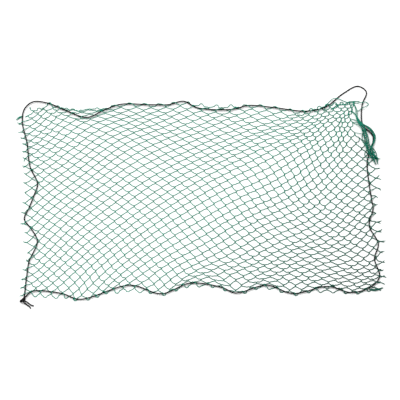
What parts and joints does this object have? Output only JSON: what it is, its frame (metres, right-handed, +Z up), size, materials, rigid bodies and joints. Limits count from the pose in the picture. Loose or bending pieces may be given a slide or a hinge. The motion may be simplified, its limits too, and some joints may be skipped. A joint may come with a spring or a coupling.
{
  "type": "cargo net",
  "caption": "Knotted diamond-mesh cargo net laid flat, with a rope threaded round its edge and tied at one corner.",
  "frame": {"origin": "on the ground under the middle of the net", "axes": "+X along the net's long side, +Y towards the edge with the loose rope loop, +Z up"},
  "size_m": [2.2048, 1.7784, 0.0317],
  "materials": {
    "net_twine": "braided polyethylene twine, slight sheen",
    "border_rope": "braided polypropylene rope, matt"
  },
  "bodies": {
    "near_half": {"twine_row_23": "net_twine", "twine_row_24": "net_twine", "twine_row_25": "net_twine", "twine_row_26": "net_twine", "twine_row_27": "net_twine", "twine_row_28": "net_twine", "twine_row_29": "net_twine", "twine_row_30": "net_twine", "twine_row_31": "net_twine", "twine_row_32": "net_twine", "twine_row_33": "net_twine", "twine_row_34": "net_twine", "twine_row_35": "net_twine", "twine_row_36": "net_twine", "twine_row_37": "net_twine", "twine_row_38": "net_twine", "twine_row_39": "net_twine", "twine_row_40": "net_twine", "twine_row_41": "net_twine", "twine_row_42": "net_twine", "twine_row_43": "net_twine", "twine_row_44": "net_twine", "rope_near_left": "border_rope", "rope_near_right": "border_rope", "rope_near": "border_rope", "rope_corner_knot": "border_rope", "rope_tail_1": "border_rope", "rope_tail_2": "border_rope"},
    "far_half": {"twine_row_01": "net_twine", "twine_row_02": "net_twine", "twine_row_03": "net_twine", "twine_row_04": "net_twine", "twine_row_05": "net_twine", "twine_row_06": "net_twine", "twine_row_07": "net_twine", "twine_row_08": "net_twine", "twine_row_09": "net_twine", "twine_row_10": "net_twine", "twine_row_11": "net_twine", "twine_row_12": "net_twine", "twine_row_13": "net_twine", "twine_row_14": "net_twine", "twine_row_15": "net_twine", "twine_row_16": "net_twine", "twine_row_17": "net_twine", "twine_row_18": "net_twine", "twine_row_19": "net_twine", "twine_row_20": "net_twine", "twine_row_21": "net_twine", "twine_row_22": "net_twine", "rope_far_left": "border_rope", "rope_far": "border_rope", "rope_corner_loop": "border_rope", "rope_far_right": "border_rope", "gathered_edge": "net_twine"}
  },
  "joints": [
    {"name": "fold_in_half", "type": "hinge", "parent": "near_half", "child": "far_half", "pos_m": [0, 0.0018, 0.015], "axis": [1, 0, 0], "range_deg": [0, 174]}
  ]
}
